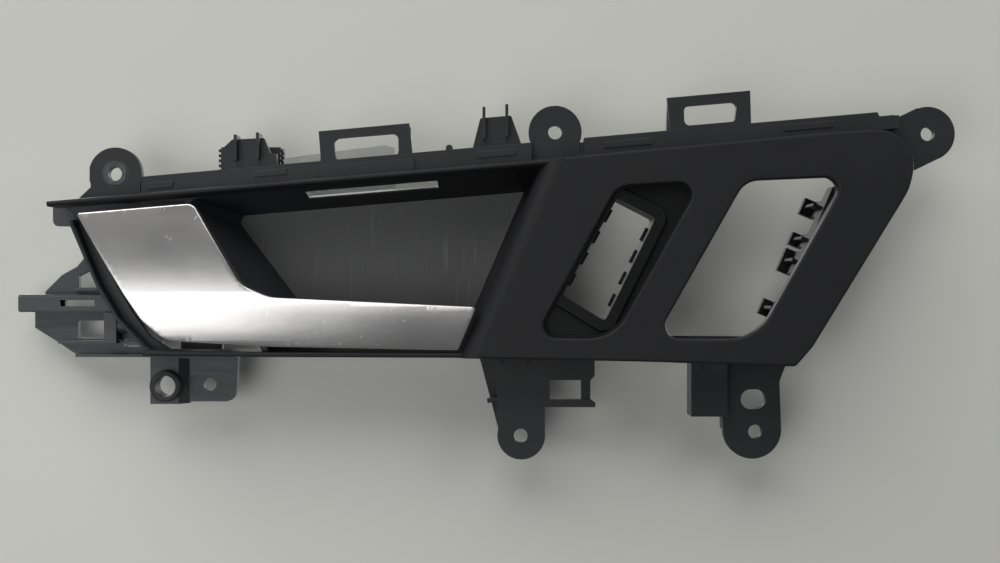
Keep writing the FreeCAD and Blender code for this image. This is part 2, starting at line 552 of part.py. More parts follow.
def carrier_frame():
    # Ring behind the panel that ties the rail to the lower tabs.
    rear_y = -SEAT_STEP
    ring = fuse([plate(RING_OUT, -EAR_T, rear_y),
                 plate([along_rail(-0.5, 5.0), along_rail(126, 5.0), (126.0, -12.0), (-0.5, -18.0)], -EAR_T, rear_y)])
    for hole in (RING_HOLE_A, RING_HOLE_B):
        ring = ring.cut(plate(hole, -EAR_T - 1, 1))
    solid = fuse(rail() + [ring]).cut(flange_gap(-8.9, 10.6)).cut(flange_gap(-173.6, -152.6))
    sides = [box(x, x + RIB_T, RAIL_FRONT_Y, rear_y, rail_z(x, RAIL_H), rail_z(x)) for x in (-10.3, 10.6, -152.6)]
    left_ear = ear(EARS["left"], -25.4).common(box(-173.2, -150, -EAR_T, 0, -26, 0))
    left_ear = left_ear.fuse(bore(EARS["left"], 4.3, -EAR_T - 0.5, rear_y))
    left_gusset = plate([(-173.0, -20.6), (-177.4, -24.8), (-177.4, -25.6), (-170.0, -25.2)], -EAR_T, rear_y)
    right_ear = fuse([bore(EARS["right"], EAR_R + 0.2, -EAR_T, rear_y),
                      plate([(116.0, 4.6), (126.4, 5.0), (134.9, 9.1), (143.0, -9.6), (134.0, -14.0), (116.0, -16.0)],
                            -EAR_T, rear_y)])
    seats = [bore(centre, SEAT_R, rear_y - 0.5, 0) for centre in EARS.values()]
    blocks = [plate(LOOP_ONE_PAD, RAIL_FRONT_Y - 1.2, RAIL_FRONT_Y + 0.5),
              bore((-39.2, -6.4), 1.3, RAIL_FRONT_Y, RAIL_FRONT_Y + RAIL_T)]
    pieces = [solid, left_ear, left_gusset, ear(EARS["middle"], -9.0), right_ear] + sides + seats + blocks + clip_pads()
    pieces += loop(LOOP_ONE, LOOP_ONE_WINDOW, [(-86.9, -1.0, -14.5), (-54.8, 1.5, -12.0)])
    pieces += loop(LOOP_TWO, LOOP_TWO_WINDOW, [(41.2, 10.5, -2.5), (70.3, 13.0, 0.0)])
    pieces += tower(TOWER_TWO, [(-26.4, -3.0, 8.8), (-18.0, -2.0, 9.8)])
    pieces += tower(TOWER_ONE, [(-117.9, -11.0, -1.4), (-109.7, -10.6, -0.6)])
    solid = fuse(pieces + tab_a() + tab_b())
    for centre in list(EARS.values()) + [TAB_A_HOLE, TAB_B_HOLE]:
        solid = solid.cut(bore(centre, SCREW_R, -12, 12))
    for p in BEZEL_SCREWS:
        solid = solid.cut(bore(p, 1.8, -6, 3))
    for p in BRACKET_SCREWS:
        solid = solid.cut(bore(p, BRACKET_SCREW_R + 0.05, -3, 3))
    return solid


# ---------------------------------------------------------------- bearing bracket

def cable_channel():
    """Covered channel for the cable's sheath end, open at its left end through a narrow slot."""
    front, back = BRACKET_Y - CHANNEL_DEPTH, BRACKET_Y + 0.5
    low, high = CHANNEL_Z
    x0, x1 = CHANNEL_X
    walls = [bar((x0, z), (x1, z), CHANNEL_WALL, front, back) for z in CHANNEL_Z]
    ends = [box(x0, x0 + CHANNEL_WALL, front, back, high - 1.8, high + 0.2),
            box(x0, x0 + CHANNEL_WALL, front, back, low - 0.2, low + 1.6)]
    cover = box(x0, x1 + 6.0, front - 0.8, front + 0.4, low, high).cut(plate(SHEATH_WINDOW, front - 2, front + 2))
    return walls + ends + [cover]


def fixing_foot():
    """Foot under the bracket that turns forward to the lower left fixings."""
    y0, y1 = TAB_Y, BRACKET_Y + BRACKET_T
    step, t = 3.5, 2.5
    slope = Part.makePolygon([Vector(-141.6, y0, -101.6), Vector(-141.6, y0 + t, -101.6),
                              Vector(-138.2, y0 + step + t, -101.6), Vector(-138.2, y0 + step, -101.6),
                              Vector(-141.6, y0, -101.6)])
    return [box(-152.1, -119.6, y0, y1, -84.4, -82.9),
            plate([(-152.1, -83.0), (-141.4, -83.0), (-141.4, -101.6), (-152.1, -101.6)], y0, y0 + t),
            Part.Face(slope).extrude(Vector(0, 0, 18.6)),
            plate([(-138.4, -83.0), (-119.6, -83.0), (-120.4, -94.7), (-121.0, -101.0, 4), (-138.4, -101.0)],
                  y0 + step, y0 + step + t),
            bore(BUSH_HOLE, BUSH_HEAD_R, TAB_Y - 1.5, TAB_Y + 5.0)]


def bearing_bracket():
    """Glass-filled bracket that holds the lever's pin, the cable end and the two lower left fixings."""
    y0, y1 = BRACKET_Y, BRACKET_Y + BRACKET_T
    back = plate(LEFT_PLATE, y0, y1)
    for w in WINDOWS:
        back = back.cut(plate(w, y0 - 1, y1 + 1))
    ribs = [bar((-190.6, -78.8), (-160.0, -78.8), 1.2, y0 - 2.5, y0 + 0.5),
            bar((-184.4, -58.4), (-172.0, -58.4), 1.2, y0 - 2.5, y0 + 0.5),
            bar((-183.4, -84.0), (-152.0, -84.0), 1.0, y0 - 4.0, y0 + 0.5)]
    # Stop block and hub beside the lower window.
    hub = Part.makeCylinder(3.1, 7.0, Vector(-167.0, y0 - 3.0, -72.4), Vector(1, 0, 0))
    block = [box(-171.6, -166.9, y0 - 6.5, y0 + 0.5, -79.1, -67.4), hub,
             box(-167.0, -160.0, y0 - 3.0, y0 + 0.5, -75.5, -69.3)]
    lugs = []
    for low, high in (UPPER_LUG, LOWER_LUG):
        lug = box(AXIS_X - KNUCKLE_R, AXIS_X + KNUCKLE_R, AXIS_Y, y0 + 0.5, low, high)
        lugs.append(lug.fuse(post(AXIS_X, AXIS_Y, KNUCKLE_R, low, high)))
    buffer_post = [box(BUFFER[0] - RIB_T / 2, BUFFER[0] + RIB_T / 2, 0.0, y0 + 0.5, BUFFER[1] - 5.0, BUFFER[1] + 5.0),
                   bore(BUFFER, 2.2, BUFFER_SEAT_Y, y0 + 0.5)]
    # Upper flange behind the rail, its legs, and the block at the far left.
    arm = [plate([along_rail(-176, 10.5), along_rail(-93, 10.5), along_rail(-93, 3.5), along_rail(-100, 3.5),
                  along_rail(-102, 5.0), along_rail(-126, 5.0), along_rail(-130, 2.5), along_rail(-150.0, 2.5),
                  along_rail(-152, 5.0), along_rail(-176, 5.0)], 0.05, 2.4),
           box(-150.0, -146.0, 0.05, y1, -30.6, rail_z(-148, 9.4)),
           box(-136.0, -133.0, 0.05, y1, -30.6, rail_z(-134, 9.4)),
           box(-150.0, -133.0, 12.0, y1, -36.0, -29.0),
           plate([(-188.2, -27.6), (-179.6, -27.6), (-170.0, -25.0), (-170.0, -29.4), (-179.6, -34.8),
                  (-188.2, -34.8, 2.2)], 0.6, 2.4)]
    solid = fuse([back] + cable_channel() + ribs + block + lugs + buffer_post + fixing_foot() + arm)
    solid = solid.cut(post(AXIS_X, AXIS_Y, PIN_R + PIN_SEAT_GAP, LOWER_LUG[0] - 1, UPPER_LUG[1] + 1))
    solid = solid.cut(bore(BUSH_HOLE, BUSH_SEAT_R, TAB_Y - 3, TAB_Y + 8))
    solid = solid.cut(bore(SMALL_TAB_HOLE, SMALL_SCREW_R, TAB_Y, TAB_Y + 8))
    for p in BRACKET_SCREWS:
        solid = solid.cut(bore(p, 1.8, -1, 4))
    return solid.cut(bore(BUFFER, BUFFER_STEM_R + 0.05, BUFFER_SEAT_Y - 1, -3.0))


def stop_buffer():
    """Rubber stop that the closed lever rests against."""
    tip = LEVER_BACK_Y + BUFFER_GAP
    cap = soften(bore(BUFFER, BUFFER_R, tip, BUFFER_SEAT_Y), 0.6, lies_on(tip))
    return fuse([cap, bore(BUFFER, BUFFER_STEM_R, BUFFER_SEAT_Y, -3.4)])


def fixing_bush():
    """Rubber bush in the lower left fixing hole."""
    front = TAB_Y - 3.0
    sleeve = bore(BUSH_HOLE, BUSH_SEAT_R, TAB_Y - 1.5, TAB_Y + 5.0)
    head = soften(bore(BUSH_HOLE, BUSH_HEAD_R, front, TAB_Y - 1.5), 0.8, lies_on(front))
    return fuse([sleeve, head]).cut(bore(BUSH_HOLE, BUSH_BORE_R, TAB_Y - 5, TAB_Y + 8))


# ---------------------------------------------------------------- recess floor and switch surrounds

def recess_floor():
    """Grained floor of the finger recess, closed onto the rear edges of the walls."""
    rear = FLOOR_Y + FLOOR_T
    lines = [((-100.0 + 22 * i, -28.0), (-88.0 + 18 * i, -80.0)) for i in range(4)] + [((-108.0, -44.0), (-20.0, -38.0))]
    ribs = [bar(p, q, RIB_T, rear - 0.2, rear + FLOOR_RIB_H) for p, q in lines]
    return fuse([plate(FLOOR, FLOOR_Y, rear)] + ribs)


def lock_switch_surround():
    """Sunken dish in the lock switch opening, with the collared pocket that the switch snaps into."""
    dish = inset_plate(LOCK_OPENING, -2.0, FACE_Y + PANEL_T, DISH_Y + 1.6)
    dish = dish.cut(inset_plate(LOCK_OPENING, 0.6, FACE_Y, DISH_Y))
    collar = soften(inset_plate(LOCK_POCKET, -COLLAR_W, COLLAR_Y, DISH_Y + 0.5), 0.9, lies_on(COLLAR_Y))
    walls = inset_plate(LOCK_POCKET, -POCKET_WALL, COLLAR_Y + 1.0, POCKET_END_Y)
    solid = fuse([dish, collar, walls]).common(inset_plate(LOCK_OPENING, -2.0, FACE_Y, POCKET_END_Y))
    return fuse([solid.cut(plate(LOCK_POCKET, -30, 10))] + pocket_snaps())


def pocket_snaps():
    """Small snap ramps along the two long sides of the pocket."""
    snaps = []
    for a, b, inward in ((LOCK_POCKET[0], LOCK_POCKET[3], 1), (LOCK_POCKET[1], LOCK_POCKET[2], -1)):
        along = Vector(b[0] - a[0], 0, b[1] - a[1]).normalize()
        side = Vector(along.z, 0, -along.x) * (-0.4 * inward)
        for start in SNAP_STARTS:
            p = Vector(a[0], 0, a[1]) + along * start + side
            q = p + along * SNAP_LENGTH
            snaps.append(bar((p.x, p.z), (q.x, q.z), 1.6, *SNAP_Y))
    return snaps


def memory_switch_frame():
    """Flange behind the memory switch opening, with a retainer wall whose rear edge carries hooked fingers."""
    front = FACE_Y + PANEL_T
    flange = inset_plate(MEMORY_OPENING, -3.4, front, front + RETAINER_T)
    flange = flange.cut(inset_plate(MEMORY_OPENING, -0.2, FACE_Y, -5))
    along = Vector(WALL_LOW[0] - WALL_TOP[0], 0, WALL_LOW[1] - WALL_TOP[1]).normalize()
    inward = Vector(along.z, 0, -along.x)
    top = Vector(WALL_TOP[0], 0, WALL_TOP[1])

    def slab(start, end, outer, inner, y0, y1):
        a, b = top + along * start, top + along * end
        ring = [a + inward * outer, b + inward * outer, b + inward * inner, a + inward * inner]
        return plate([(v.x, v.z) for v in ring], y0, y1)

    pieces = [flange, slab(*RETAINER_SPAN, -RETAINER_T, 0.0, front, WALL_END_Y),
              slab(*RETAINER_SPAN, -3.2, 0.0, front, front + RETAINER_T)]
    for start, length, reach in FINGERS:
        end, middle = start + length, start + length / 2
        pieces.append(slab(start, end, -RETAINER_T, 0.0, WALL_END_Y - 0.5, FINGER_END_Y))
        pieces.append(slab(start, end, -0.2, reach, FINGER_END_Y - 3.0, FINGER_END_Y))
        pieces.append(slab(middle - 0.6, middle + 0.6, -0.2, reach - 1.0, WALL_END_Y - 4.0, FINGER_END_Y - 1.0))
    return fuse(pieces).cut(plate(MEMORY_OPENING, FACE_Y, front + 3.0))


# ---------------------------------------------------------------- light guide and lamp

def top_wall_band():
    """The space that the top wall fills, so the guide lies flush with it."""
    drop, t = TOP_WALL_DROP, WALL_T
    section = [(-1.0, LIP_Y + 7.0), (-drop, FLOOR_Y), (-drop - t, FLOOR_Y), (-2.0, LIP_Y + 0.9), (-1.6, LIP_Y + 0.25)]
    return sweep_section(section, along_top(RECESS_LEFT_X), along_top(4.0))


def light_guide():
    """Clear guide: feed plate behind the rail, and the strip that shines in the recess."""
    strip = slit_tool(-GUIDE_GAP).common(top_wall_band())
    feed = plate([(-91.0, top_line(-91) - 4.6), (-60.0, top_line(-60) - 4.6), (-60.0, -5.4), (-63.8, -4.4),
                  (-101.5, -9.4), (-101.5, -13.6), (-93.0, -15.0)], *FEED_Y)
    return fuse([strip, feed])


def lamp_housing():
    """Box with an open right end, and serrated edges for grip."""
    (x0, x1), (y0, y1), (z0, z1), t = LAMP_X, LAMP_Y, LAMP_Z, LAMP_WALL
    body = box(x0 + 1, x1 - 1, y0, y1, z0, z1).cut(box(x0 + 1 + t, x1 + 1, y0 + t, y1 - t, z0 + t, z1 - t))
    teeth = []
    for i in range(5):
        z = z0 + 1.0 + 1.9 * i
        teeth.append(box(x0, x0 + 1.4, y0 + 0.5, y1 - 0.5, z, z + 1.0))
        teeth.append(box(x1 - 1.4, x1, y0, y0 + t, z, z + 1.0))
    return fuse([body] + teeth)


def lamp_board():
    return box(LAMP_X[0] + 2.6, LAMP_X[1] - 4.0, LAMP_Y[0] + 4.0, LAMP_Y[0] + 5.0, -13.4, -6.8)


def lamp_led():
    x1, y0 = LAMP_X[1], LAMP_Y[0]
    return soften(box(x1 - 8.5, x1 - 5.5, y0 + 2.6, y0 + 4.0, -11.6, -8.8), 0.4, lies_on(y0 + 2.6))


def lamp_contacts():
    """Two tin-plated contact blades."""
    x0, y = LAMP_X[0], LAMP_Y[0] + 5.0
    return Part.makeCompound([box(x0 + 4.0, x0 + 10.0, y, y + 0.6, z, z + 1.2) for z in (-12.6, -9.2)])


# ---------------------------------------------------------------- lever

def lever_body(inset):
    """Everything behind the lever's front face moved in by inset: flat upper face, crease, rounded lower face."""
    front = [(z, y + inset) for z, y in (PLATE_TOP, CREASE, BAR_BELLY, BAR_FOOT)]
    section = [front[0], front[1], front[2] + front[3], (BAR_FOOT[0], SECTION_BACK_Y), (PLATE_TOP[0], SECTION_BACK_Y)]
    solid = sweep_section(section, (-182.0, CREASE_Z - 0.6), (-22.0, CREASE_Z + 0.4))
    return solid.common(inset_plate(LEVER, inset, -25, LEVER_BACK_Y))


def lever_shell():
    """Satin front shell of the lever."""
    solid = soften(lever_body(0.0), 0.5, lambda e: e.CenterOfMass.y < LEVER_BACK_Y - 0.5 and e.Length > 12.0
                   and abs(e.CenterOfMass.z - CREASE_Z) > 3.0)
    return solid.cut(lever_body(LEVER_T))


def lever_core():
    """Black inner lever: skin behind the shell, hinge knuckles and cable arm."""
    skin = lever_body(LEVER_T + CORE_GAP)
    hollow = lever_body(LEVER_T + CORE_GAP + CORE_T).common(plate(GRIP_ZONE, -25, 0))
    ribs = [bar((-104.0 + 16 * i, -60.5), (-106.0 + 16 * i, -79.5), RIB_T, -20.0, LEVER_BACK_Y) for i in range(4)]
    inner = lever_body(LEVER_T + 1.0)
    skin = skin.cut(hollow).fuse([r.common(inner) for r in ribs])
    knuckles = []
    for low, high in (UPPER_KNUCKLE, LOWER_KNUCKLE):
        web = box(AXIS_X - 2.5, AXIS_X + KNUCKLE_R, LEVER_BACK_Y - 0.5, AXIS_Y, low, high)
        knuckles.append(post(AXIS_X, AXIS_Y, KNUCKLE_R, low, high).fuse(web))
    end_y = AXIS_Y + ARM_LENGTH
    low = LOWER_KNUCKLE[0]
    arm = box(AXIS_X - 2.2, AXIS_X + 2.2, AXIS_Y, end_y - 2.0, low, low + ARM_T)
    tip = post(AXIS_X, end_y, 3.4, low, low + ARM_T)
    solid = fuse([skin] + knuckles + [arm, tip])
    for k_low, k_high in (UPPER_KNUCKLE, LOWER_KNUCKLE):
        solid = solid.cut(post(AXIS_X, AXIS_Y, BUSH_R, k_low - 0.1, k_high + 0.1))
    return solid.cut(post(AXIS_X, end_y, EYE_R, low - 1, low + ARM_T + 1))


def lever_bush(low, high):
    """Acetal bush pressed into a knuckle."""
    return post(AXIS_X, AXIS_Y, BUSH_R, low, high).cut(post(AXIS_X, AXIS_Y, PIN_R + RUNNING_GAP, low - 1, high + 1))


def lever_back_cover():
    """Soft rear cover of the bar, where the fingertips pull."""
    back = LEVER_BACK_Y + GRIP_BACK_T
    return soften(plate(GRIP_BACK, LEVER_BACK_Y, back), 1.2, lies_on(back))


def cable_eye():
    """Zinc insert at the arm's end with the slotted eye for the cable nipple."""
    y = AXIS_Y + ARM_LENGTH
    low, high = LOWER_KNUCKLE[0] - 0.8, LOWER_KNUCKLE[0] + ARM_T + 0.8
    ring = post(AXIS_X, y, EYE_R, low, high).cut(post(AXIS_X, y, 1.3, low - 1, high + 1))
    return ring.cut(box(AXIS_X - 3.0, AXIS_X, y - 0.5, y + 0.5, low - 1, high + 1))


def hinge_pin():
    """Headed pin with a clip groove near its lower end."""
    low, high = LOWER_LUG[0] - 2.4, UPPER_LUG[1]
    pin = fuse([post(AXIS_X, AXIS_Y, PIN_R, low, high), post(AXIS_X, AXIS_Y, PIN_HEAD_R, high, high + 1.2)])
    g0, g1 = CLIP_Z[0] - 0.1, CLIP_Z[1] + 0.1
    return pin.cut(post(AXIS_X, AXIS_Y, PIN_R + 1, g0, g1).cut(post(AXIS_X, AXIS_Y, CLIP_GROOVE_R, g0, g1)))


def pin_clip():
    """Spring clip in the pin's groove."""
    z0, z1 = CLIP_Z
    ring = post(AXIS_X, AXIS_Y, 3.6, z0, z1).cut(post(AXIS_X, AXIS_Y, CLIP_GROOVE_R + 0.05, z0 - 1, z1 + 1))
    return ring.cut(box(AXIS_X - 1.0, AXIS_X + 1.0, AXIS_Y, AXIS_Y + 5, z0 - 1, z1 + 1))


def return_spring():
    """Torsion spring round the pin: its front leg bears on the lever, its rear leg on the bracket."""
    low, high = LOWER_KNUCKLE[1] + 1.2, UPPER_KNUCKLE[0] - 1.2
    helix = Part.makeHelix((high - low) / SPRING_TURNS, high - low, SPRING_COIL_R)
    helix.translate(Vector(AXIS_X, AXIS_Y, low))
    edge = helix.Edges[0]
    first, last = edge.FirstParameter, edge.LastParameter
    start, end = edge.valueAt(first), edge.valueAt(last)
    front_leg = edge.tangentAt(first).normalize() * (AXIS_Y - LEVER_BACK_Y - SPRING_WIRE_R - 0.2)
    rear_leg = edge.tangentAt(last).normalize() * (BRACKET_Y - AXIS_Y - 0.1)
    path = Part.Wire([Part.LineSegment(start - front_leg, start).toShape()] + helix.Edges
                     + [Part.LineSegment(end, end + rear_leg).toShape()])
    ring = Part.Wire([Part.Circle(start - front_leg, front_leg, SPRING_WIRE_R).toShape()])
    return path.makePipeShell([ring], True, True)


# ---------------------------------------------------------------- fasteners

def screw(p, head_y, tip_y, shank_r):
    """Pan-head screw along Y, its head towards the door, with a cross recess."""
    head_r, half_slot, slot_depth = 3.0, 0.35, 0.9
    rear = head_y + HEAD_T
    solid = fuse([bore(p, shank_r, tip_y, head_y), soften(bore(p, head_r, head_y, rear), 0.7, lies_on(rear))])
    reach = head_r * 0.55
    y0, y1 = rear - slot_depth, rear + 1
    cross = box(p[0] - reach, p[0] + reach, y0, y1, p[1] - half_slot, p[1] + half_slot).fuse(
        box(p[0] - half_slot, p[0] + half_slot, y0, y1, p[1] - reach, p[1] + reach))
    return solid.cut(cross)


def bezel_screws():
    return Part.makeCompound([screw(p, -SEAT_STEP, -11.5, BEZEL_SCREW_R) for p in BEZEL_SCREWS])


def bracket_screws():
    return Part.makeCompound([screw(p, 2.4, -2.3, BRACKET_SCREW_R) for p in BRACKET_SCREWS])


NODES = {
    "front_bezel": front_bezel,
    "carrier_frame": carrier_frame,
    "bearing_bracket": bearing_bracket,
    "recess_floor": recess_floor,
    "lock_switch_surround": lock_switch_surround,
    "memory_switch_frame": memory_switch_frame,
    "light_guide": light_guide,
    "lamp_housing": lamp_housing,
    "lamp_board": lamp_board,
    "lamp_led": lamp_led,
    "lamp_contacts": lamp_contacts,
    "stop_buffer": stop_buffer,
    "fixing_bush": fixing_bush,
    "hinge_pin": hinge_pin,
    "pin_clip": pin_clip,
    "return_spring": return_spring,
    "lever_shell": lever_shell,
    "lever_core": lever_core,
    "upper_lever_bush": lambda: lever_bush(*UPPER_KNUCKLE),
    "lower_lever_bush": lambda: lever_bush(*LOWER_KNUCKLE),
    "lever_back_cover": lever_back_cover,
    "cable_eye": cable_eye,
    "bezel_screws": bezel_screws,
    "bracket_screws": bracket_screws,
}

os.makedirs("parts", exist_ok=True)
for name, make in NODES.items():
    shape = make()
    print(name, len(shape.Solids), "solids", "valid" if shape.isValid() else "NOT VALID", round(shape.Volume, 1))
    shape.exportStep(f"parts/{name}.step")
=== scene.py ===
"""The looks of the inside door handle: materials, finer shapes for the parts that show, light and camera.

Metres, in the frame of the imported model: +X along the door, +Z up, the cabin towards -Y.
"""

import json
import math

import bmesh
import bpy
import numpy as np
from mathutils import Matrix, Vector, geometry
from mathutils.bvhtree import BVHTree


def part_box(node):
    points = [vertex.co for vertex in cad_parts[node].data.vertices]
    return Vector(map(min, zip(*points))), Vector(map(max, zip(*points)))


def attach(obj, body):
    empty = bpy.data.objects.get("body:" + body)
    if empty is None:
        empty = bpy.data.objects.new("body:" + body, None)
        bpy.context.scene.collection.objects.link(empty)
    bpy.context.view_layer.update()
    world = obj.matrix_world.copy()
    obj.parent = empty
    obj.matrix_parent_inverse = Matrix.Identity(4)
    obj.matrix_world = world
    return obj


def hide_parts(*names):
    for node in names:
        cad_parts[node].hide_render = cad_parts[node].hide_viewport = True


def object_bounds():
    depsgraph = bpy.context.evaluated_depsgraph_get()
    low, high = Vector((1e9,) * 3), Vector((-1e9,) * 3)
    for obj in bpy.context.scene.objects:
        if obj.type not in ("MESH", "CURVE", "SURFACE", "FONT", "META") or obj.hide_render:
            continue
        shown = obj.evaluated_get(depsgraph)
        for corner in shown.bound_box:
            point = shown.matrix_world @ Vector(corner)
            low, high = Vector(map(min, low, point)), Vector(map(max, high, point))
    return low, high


MM = 0.001

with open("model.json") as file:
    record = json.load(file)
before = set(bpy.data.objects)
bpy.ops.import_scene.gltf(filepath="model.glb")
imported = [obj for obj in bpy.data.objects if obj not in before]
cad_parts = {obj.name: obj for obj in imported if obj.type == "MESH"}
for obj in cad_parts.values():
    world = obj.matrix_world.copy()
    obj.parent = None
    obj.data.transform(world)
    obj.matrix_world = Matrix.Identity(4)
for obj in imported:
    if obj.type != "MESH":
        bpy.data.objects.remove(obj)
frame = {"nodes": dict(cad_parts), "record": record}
CAD_LOW, CAD_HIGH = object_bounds()
NODES = frame["nodes"]
LEFT_HOLE = next((m["pos_m"][0], 0.0, m["pos_m"][2]) for m in frame["record"]["mounts"]
                 if m["name"] == "upper_left_screw")


# ---------------------------------------------------------------- node helpers

class Tree:
    """A material's node tree, with short calls for the nodes used here."""

    def __init__(self, name, edge=0.3):
        """edge is the radius, in mm, that sharp edges are shaded with."""
        self.material = bpy.data.materials.new(name)
        self.material.use_nodes = True
        self.nodes = self.material.node_tree.nodes
        self.links = self.material.node_tree.links
        self.shader = self.nodes["Principled BSDF"]
        self.place = self.nodes.new("ShaderNodeNewGeometry").outputs["Position"]
        self.rounded = self.add("ShaderNodeBevel", {"Radius": edge * MM}, samples=4).outputs[0]

    def add(self, kind, inputs=None, **settings):
        node = self.nodes.new(kind)
        for key, value in settings.items():
            setattr(node, key, value)
        for key, value in (inputs or {}).items():
            self.put(node.inputs[key], value)
        return node

    def put(self, socket, value):
        if isinstance(value, bpy.types.NodeSocket):
            self.links.new(value, socket)
        else:
            socket.default_value = value

    def stretched(self, x, y, z):
        """Position scaled per axis: noise on it is drawn out along the axis with the smallest number."""
        node = self.add("ShaderNodeVectorMath", {0: self.place, 1: (x, y, z)}, operation="MULTIPLY")
        return node.outputs[0]

    def noise(self, scale, detail=3.0, rough=0.5, at=None, distortion=0.0):
        node = self.add("ShaderNodeTexNoise", {"Vector": at or self.place, "Scale": scale, "Detail": detail,
                                               "Roughness": rough, "Distortion": distortion})
        return node.outputs["Fac"]

    def cells(self, scale, feature="F1", at=None):
        node = self.add("ShaderNodeTexVoronoi", {"Vector": at or self.place, "Scale": scale}, feature=feature)
        return node.outputs["Distance"]

    def ramp(self, value, low, high, start=0.0, end=1.0):
        """value from low to high becomes start to end, held beyond them."""
        node = self.add("ShaderNodeMapRange", {"Value": value, "From Min": low, "From Max": high,
                                               "To Min": start, "To Max": end})
        return node.outputs["Result"]

    def times(self, a, b):
        return self.add("ShaderNodeMath", {0: a, 1: b}, operation="MULTIPLY").outputs[0]

    def plus(self, a, b):
        return self.add("ShaderNodeMath", {0: a, 1: b}, operation="ADD").outputs[0]

    def biggest(self, a, b):
        return self.add("ShaderNodeMath", {0: a, 1: b}, operation="MAXIMUM").outputs[0]

    def mix(self, share, a, b):
        node = self.add("ShaderNodeMix", data_type="RGBA")
        self.put(node.inputs["Factor"], share)
        self.put(node.inputs["A"], (*a, 1) if isinstance(a, tuple) else a)
        self.put(node.inputs["B"], (*b, 1) if isinstance(b, tuple) else b)
        return node.outputs["Result"]

    def bump(self, height, distance, strength=1.0, under=None):
        node = self.add("ShaderNodeBump", {"Height": height, "Distance": distance, "Strength": strength,
                                           "Normal": under or self.rounded})
        return node.outputs["Normal"]

    def axis(self, which):
        return self.add("ShaderNodeSeparateXYZ", {0: self.place}).outputs[which]

    def edges(self, width=0.0006):
        """1 on outer edges and 0 elsewhere, from the surface's own shape: the mask for painted edge highlights.
        """
        node = self.add("ShaderNodeBevel", {"Radius": width}, samples=4)
        flat = self.add("ShaderNodeNewGeometry").outputs["Normal"]
        dot = self.add("ShaderNodeVectorMath", {0: node.outputs[0], 1: flat}, operation="DOT_PRODUCT")
        return self.ramp(dot.outputs["Value"], 0.985, 0.90)

    def finish(self, **sockets):
        for key, value in sockets.items():
            self.put(self.shader.inputs[key.replace("_", " ")], value)
        return self.material


# ---------------------------------------------------------------- materials

def soft_touch():
    """Matt charcoal lacquer of the panel: nearly smooth, faintly cloudy, with a little lint, painted shade deep
    in the recess and painted light on the recess's left wall.
    """
    t = Tree("soft_touch_black", 0.6)
    cloud = t.noise(28, 4, 0.6)
    grain = t.noise(5200, 2, 0.6)
    lint = t.ramp(t.cells(900), 0.045, 0.02)
    lint = t.times(lint, t.ramp(t.noise(60, 2), 0.62, 0.7))
    base = t.mix(cloud, (0.0080, 0.0083, 0.0096), (0.0120, 0.0123, 0.0138))
    base = t.mix(t.times(lint, 0.5), base, (0.10, 0.10, 0.10))
    # Painted shade: the colour darkens behind the panel's face, into the recess, and painted light lightens it
    # again on the recess's left wall.
    inside = t.ramp(t.axis("Y"), -0.0135, -0.0100)
    far_wall_painted_light = t.ramp(t.axis("X"), -0.085, -0.112)
    painted_recess_shade = t.mix(far_wall_painted_light, (0.0085, 0.0088, 0.0100), (0.030, 0.032, 0.038))
    rough = t.plus(t.ramp(cloud, 0.3, 0.7, 0.52, 0.62), t.times(inside, -0.14))
    return t.finish(Base_Color=t.mix(t.times(inside, 0.8), base, painted_recess_shade), Roughness=rough,
                    Specular_IOR_Level=0.22, Normal=t.bump(grain, 0.00002, 0.35))


def moulded_black():
    """Black moulded carrier: fine grain, dust, and painted highlights along its edges."""
    t = Tree("moulded_black", 0.25)
    cloud = t.noise(45, 4, 0.6)
    grain = t.noise(2600, 3, 0.6)
    flow = t.noise(40, 3, 0.6, t.stretched(0.25, 1, 2.5))
    dust = t.ramp(t.noise(700, 4, 0.7), 0.62, 0.75, 0.0, 0.5)
    base = t.mix(cloud, (0.0100, 0.0106, 0.0120), (0.0200, 0.0210, 0.0235))
    base = t.mix(t.times(dust, t.ramp(cloud, 0.35, 0.7)), base, (0.045, 0.045, 0.045))
    # Painted highlight: the colour is lightened along the edges.
    base = t.mix(t.times(t.edges(0.0005), 0.4), base, (0.06, 0.062, 0.066))
    # The left ear was screwed down: its face is scuffed in a ring round the hole.
    hole = t.add("ShaderNodeVectorMath", {0: t.stretched(1, 0, 1), 1: LEFT_HOLE}, operation="DISTANCE")
    from_hole = hole.outputs["Value"]
    ring = t.times(t.ramp(from_hole, 0.0052, 0.0044), t.ramp(t.noise(420, 3, 0.6), 0.32, 0.62, 0.25, 1.0))
    base = t.mix(t.times(ring, 0.6), base, (0.10, 0.103, 0.108))
    return t.finish(Base_Color=base, Roughness=t.ramp(flow, 0.3, 0.7, 0.40, 0.56), Specular_IOR_Level=0.28,
                    Normal=t.bump(grain, 0.00004, 0.4, t.bump(flow, 0.00012, 0.2)))


def black_in_painted_shade():
    """The same black, made darker for the switch openings as painted shade: clean, smooth and without the dust
    of the open parts.
    """
    t = Tree("switch_black_painted_shade", 0.3)
    cloud = t.noise(60, 4, 0.6)
    grain = t.noise(2200, 3, 0.6)
    # Painted shade: this black is darker than the moulded black it copies.
    base = t.mix(cloud, (0.0030, 0.0032, 0.0036), (0.0062, 0.0066, 0.0073))
    return t.finish(Base_Color=base, Roughness=t.ramp(cloud, 0.3, 0.7, 0.36, 0.46), Specular_IOR_Level=0.16,
                    Normal=t.bump(grain, 0.00003, 0.3))


